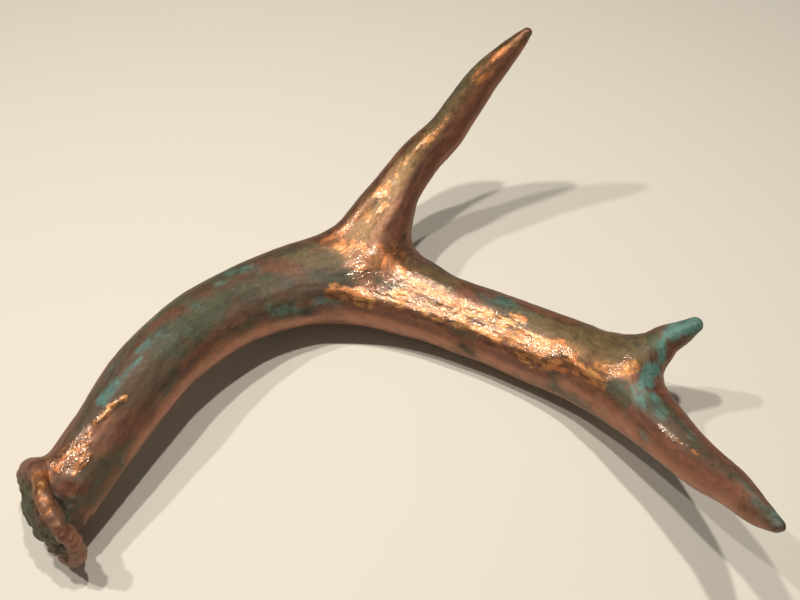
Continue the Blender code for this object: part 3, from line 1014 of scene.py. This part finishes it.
def paint_colour(recipe, clouds, cover):
    """The colours of the paints, in the order in which they lie on each other."""
    tone = centred(clouds["mottle"]) * TONE_MOTTLE + centred(clouds["flecks"]) * TONE_FLECKS + 0.5
    greener = recipe.edge(clouds["patches"] + centred(clouds["broad"]) * GREEN_BROAD, *GREEN_EDGE)
    olive = recipe.mixed(greener, recipe.mixed(tone, *OLIVE_BROWN), recipe.mixed(tone, *OLIVE_GREEN))
    colour = recipe.mixed(tone, *COPPER_BROWN)
    colour = recipe.mixed(cover["olive"], colour, olive)
    colour = recipe.mixed(cover["bronze"] * BRONZE_STRENGTH, colour, recipe.mixed(tone, *BRONZE))
    colour = recipe.mixed(cover["teal"] * TEAL_STRENGTH, colour, recipe.mixed(tone, *TEAL))
    # rose copper: the rim's own colour, and a painted reflection of the paper on the lower flanks
    colour = recipe.mixed(cover["rose_and_reflection"], colour, recipe.mixed(clouds["mottle"], *ROSE_AND_REFLECTION))
    colour = recipe.mixed(cover["red"] * RUST_STRENGTH, colour, recipe.mixed(tone, *RUST))
    # gold leaf, which is also painted highlight where the lamps shine
    colour = recipe.mixed(cover["gold_and_highlight"], colour, gold_leaf_and_highlight(recipe, clouds))
    grime = recipe.edge(clouds["streaks"] + centred(clouds["broad"]) * GRIME_BROAD, *GRIME_EDGE)
    grime = grime * (1.0 - cover["gold_and_highlight"] * (1 - GRIME_ON_GOLD)) * GRIME_STRENGTH
    # streaks of grime, and umber that is painted shade in the hollows, both darken towards umber
    return recipe.mixed(recipe.larger(grime, cover["umber_and_shade"] * UMBER_AND_SHADE_STRENGTH), colour, UMBER_OF_GRIME_AND_SHADE)


def paint_gloss(recipe, base, clouds, cover, wrinkled):
    """Sets how the paints shine: copper and gold leaf like metal, the washes far less."""
    gold_and_highlight = cover["gold_and_highlight"]
    washes = recipe.larger(cover["olive"], cover["teal"])
    glazes_and_shade = recipe.larger(cover["red"], cover["umber_and_shade"])
    dull = recipe.larger(washes, glazes_and_shade) * (1.0 - gold_and_highlight)
    metallic = (
        COPPER_METALLIC
        + dull * (DULL_METALLIC - COPPER_METALLIC)
        + gold_and_highlight * (GOLD_METALLIC - COPPER_METALLIC)
    )
    roughness = (
        COPPER_ROUGHNESS
        + dull * (DULL_ROUGHNESS - COPPER_ROUGHNESS)
        + gold_and_highlight * (GOLD_ROUGHNESS - COPPER_ROUGHNESS)
        + centred(clouds["mottle"]) * MOTTLED_ROUGHNESS
        - wrinkled * WRINKLES_SMOOTHING
    )
    creases = CREASES_PLAIN + gold_and_highlight * CREASES_ON_GOLD + wrinkled * CREASES_WRINKLED
    height = clouds["creases"] * creases + clouds["pearl"] * PAINT_PEARL
    recipe.fill(base, "Metallic", metallic)
    recipe.fill(base, "Roughness", roughness)
    recipe.fill(base, "Coat Weight", SATIN_COAT * (1.0 - gold_and_highlight * (1 - SATIN_COAT_ON_GOLD)))
    recipe.fill(base, "Normal", recipe.bump(height, PAINT_DEPTH))
    base.inputs["Specular IOR Level"].default_value = PAINT_SPECULAR
    base.inputs["Coat Roughness"].default_value = SATIN_ROUGHNESS


def varnish(recipe, clouds, folds, wrinkled):
    """The mirror-like top of the varnish, folded where it has dried in wrinkles."""
    height = folds * (FOLDS_PLAIN + wrinkled * FOLDS_WRINKLED) + clouds["pearl"] * VARNISH_PEARL
    return recipe.node("ShaderNodeBsdfPrincipled", sockets={
        "Base Color": (*VARNISH_TINT, 1.0),
        "Metallic": 1.0,
        "Roughness": VARNISH_ROUGHNESS,
        "Normal": recipe.bump(height, VARNISH_DEPTH),
    })


def antler_paint():
    """Washes, patina, gold leaf that is also painted highlight, rose copper that is also painted
    reflection, and umber that is painted shade, over red-brown copper, under a varnish that is wrinkled
    in places."""
    material = bpy.data.materials.new("copper_over_patina")
    material.use_nodes = True
    tree = material.node_tree
    recipe = Recipe(tree)
    base = tree.nodes["Principled BSDF"]

    grain = recipe.node("ShaderNodeAttribute", {"attribute_name": "grain"}, output="Vector")
    clouds = {name: recipe.noise(grain, cloud) for name, cloud in CLOUDS.items()}
    folds = abs(centred(clouds["folds"])) * 2.0
    wrinkled = recipe.stored("wrinkled")
    veined = recipe.edge(wrinkled, *VEINED_FROM)
    cover = paint_cover(recipe, clouds)
    cover["gold_and_highlight"] = cover["gold_and_highlight"] * (1.0 - veined * recipe.edge(folds, *VEIN_EDGE))
    recipe.fill(base, "Base Color", paint_colour(recipe, clouds, cover))
    paint_gloss(recipe, base, clouds, cover, wrinkled)

    wrinkle_shine = SHINE_WRINKLED + veined * (SHINE_VEINED - SHINE_WRINKLED)
    shine = SHINE_PLAIN + cover["gold_and_highlight"] * SHINE_ON_GOLD + wrinkled * wrinkle_shine
    layered = recipe.node("ShaderNodeMixShader", sockets={
        0: shine, 1: Socket(recipe, base.outputs[0]), 2: varnish(recipe, clouds, folds, wrinkled)})
    recipe.fill(tree.nodes["Material Output"], "Surface", layered)
    return material


def plain_paint(name, colour, roughness):
    """One even colour, for what the antler lies on."""
    material = bpy.data.materials.new(name)
    material.use_nodes = True
    shader = material.node_tree.nodes["Principled BSDF"]
    shader.inputs["Base Color"].default_value = (*colour, 1.0)
    shader.inputs["Roughness"].default_value = roughness
    return material


def paint_marks(shapes):
    """The dabs of every paint, by the paint's name."""
    rim, base = shapes["rim"], shapes["base"]
    return {
        "olive": np.concatenate((dabs(OLIVE_WASH, shapes), burr_dabs(base, *BASE_OLIVE))),
        "bronze": dabs(BRONZE_OLIVE, shapes),
        "teal": dabs(TEAL_PATINA, shapes),
        # rose: the rim's colour, and painted reflection of the paper on the flanks
        "rose_and_reflection": np.concatenate((dabs(ROSE_COPPER_AND_REFLECTION, shapes), burr_dabs(rim, *RIM_ROSE))),
        "red": np.concatenate((dabs(RED_BROWN, shapes), burr_dabs(rim, *RIM_RED))),
        # gold: leaf, and painted highlight on the beam, tines and rim crest
        "gold_and_highlight": np.concatenate((
            dabs(GOLD_COPPER_AND_HIGHLIGHTS, shapes), burr_dabs(rim[slice(*RIM_GOLD_HIGHLIGHT_SPAN)], *RIM_GOLD_AND_HIGHLIGHT))),
        # umber: painted shade in hollows and crotches, and a few dark patches
        "umber_and_shade": dabs(UMBER_AND_PAINTED_SHADE, shapes),
    }


def store_paint(mesh, points, shapes):
    """Stores how much each paint covers every point, and where no stroke comes near."""
    nearby = np.zeros(len(points))
    for name, marks in paint_marks(shapes).items():
        cover = covered(points, marks)
        add_attribute(mesh, name, cover)
        nearby = np.maximum(nearby, cover)
    add_attribute(mesh, "wild", 1 - np.clip(nearby / NEAR_COVER, 0.0, 1.0))
    add_attribute(mesh, "wrinkled", covered(points, dabs(WRINKLED, shapes)))


def antler_skin():
    """The whole antler in one skin, finer than the solids it stands for."""
    shapes = {
        "beam": swept(BEAM),
        "long_tine": swept(LONG_TINE),
        "long_tine_web": swept(LONG_TINE_WEB),
        "short_tine": swept(SHORT_TINE),
        "rim": burr_rim(),
        "base": burr_base(),
    }
    values = {"Voxel": VOXEL, "Paint": antler_paint()}
    mesh = shaped(ball_mesh(shapes), body_tree(), values)
    points, lengthwise = settled(mesh_points(mesh), shapes)
    add_attribute(mesh, "grain", lengthwise)
    store_paint(mesh, points, shapes)
    set_points(mesh, np.clip(points + TO_MODEL, CAD_LOW, CAD_HIGH))
    mesh.shade_smooth()
    mesh.name = "antler_skin"
    skin = bpy.data.objects.new("antler_skin", mesh)
    bpy.context.scene.collection.objects.link(skin)
    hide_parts("main_beam", "long_tine", "short_tine")
    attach(skin, "root")
    return skin


def paper():
    """The cream paper that the antler lies on."""
    half = PAPER_SIZE / 2
    corners = [(-half, -half, 0.0), (half, -half, 0.0), (half, half, 0.0), (-half, half, 0.0)]
    mesh = bpy.data.meshes.new("paper")
    mesh.from_pydata(corners, [], [(0, 1, 2, 3)])
    mesh.materials.append(plain_paint("cream_paper", PAPER_COLOUR, PAPER_ROUGHNESS))
    sheet = bpy.data.objects.new("paper", mesh)
    bpy.context.scene.collection.objects.link(sheet)


def lamps():
    """Three small round lamps overhead, in a row, all turned the same way."""
    for number, (place, power) in enumerate(LAMPS, start=1):
        light = bpy.data.lights.new(f"lamp_{number}", "AREA")
        light.shape = "DISK"
        light.size = 2 * LAMP_RADIUS
        light.energy = power
        light.color = LAMP_COLOUR
        lamp = bpy.data.objects.new(f"lamp_{number}", light)
        lamp.location = Vector(place) * MM
        lamp.rotation_mode = "QUATERNION"
        lamp.rotation_quaternion = LAMP_AIM.to_track_quat("-Z", "Y")
        bpy.context.scene.collection.objects.link(lamp)


def room():
    """The dim warm room around, and plain colours as a camera shows them."""
    world = bpy.data.worlds.new("room")
    world.use_nodes = True
    background = world.node_tree.nodes["Background"]
    background.inputs["Color"].default_value = (*ROOM_COLOUR, 1.0)
    background.inputs["Strength"].default_value = ROOM_STRENGTH
    bpy.context.scene.world = world
    bpy.context.scene.view_settings.view_transform = "Standard"


def camera():
    """The camera, where the photo was taken from."""
    lens = bpy.data.cameras.new("camera")
    lens.angle = CAMERA_FIELD
    lens.clip_start = CAMERA_NEAR
    eye = bpy.data.objects.new("camera", lens)
    eye.location = CAMERA_PLACE
    eye.rotation_mode = "QUATERNION"
    eye.rotation_quaternion = (CAMERA_AIM - CAMERA_PLACE).to_track_quat("-Z", "Y")
    bpy.context.scene.collection.objects.link(eye)
    bpy.context.scene.camera = eye


antler_skin()
paper()
lamps()
room()
camera()
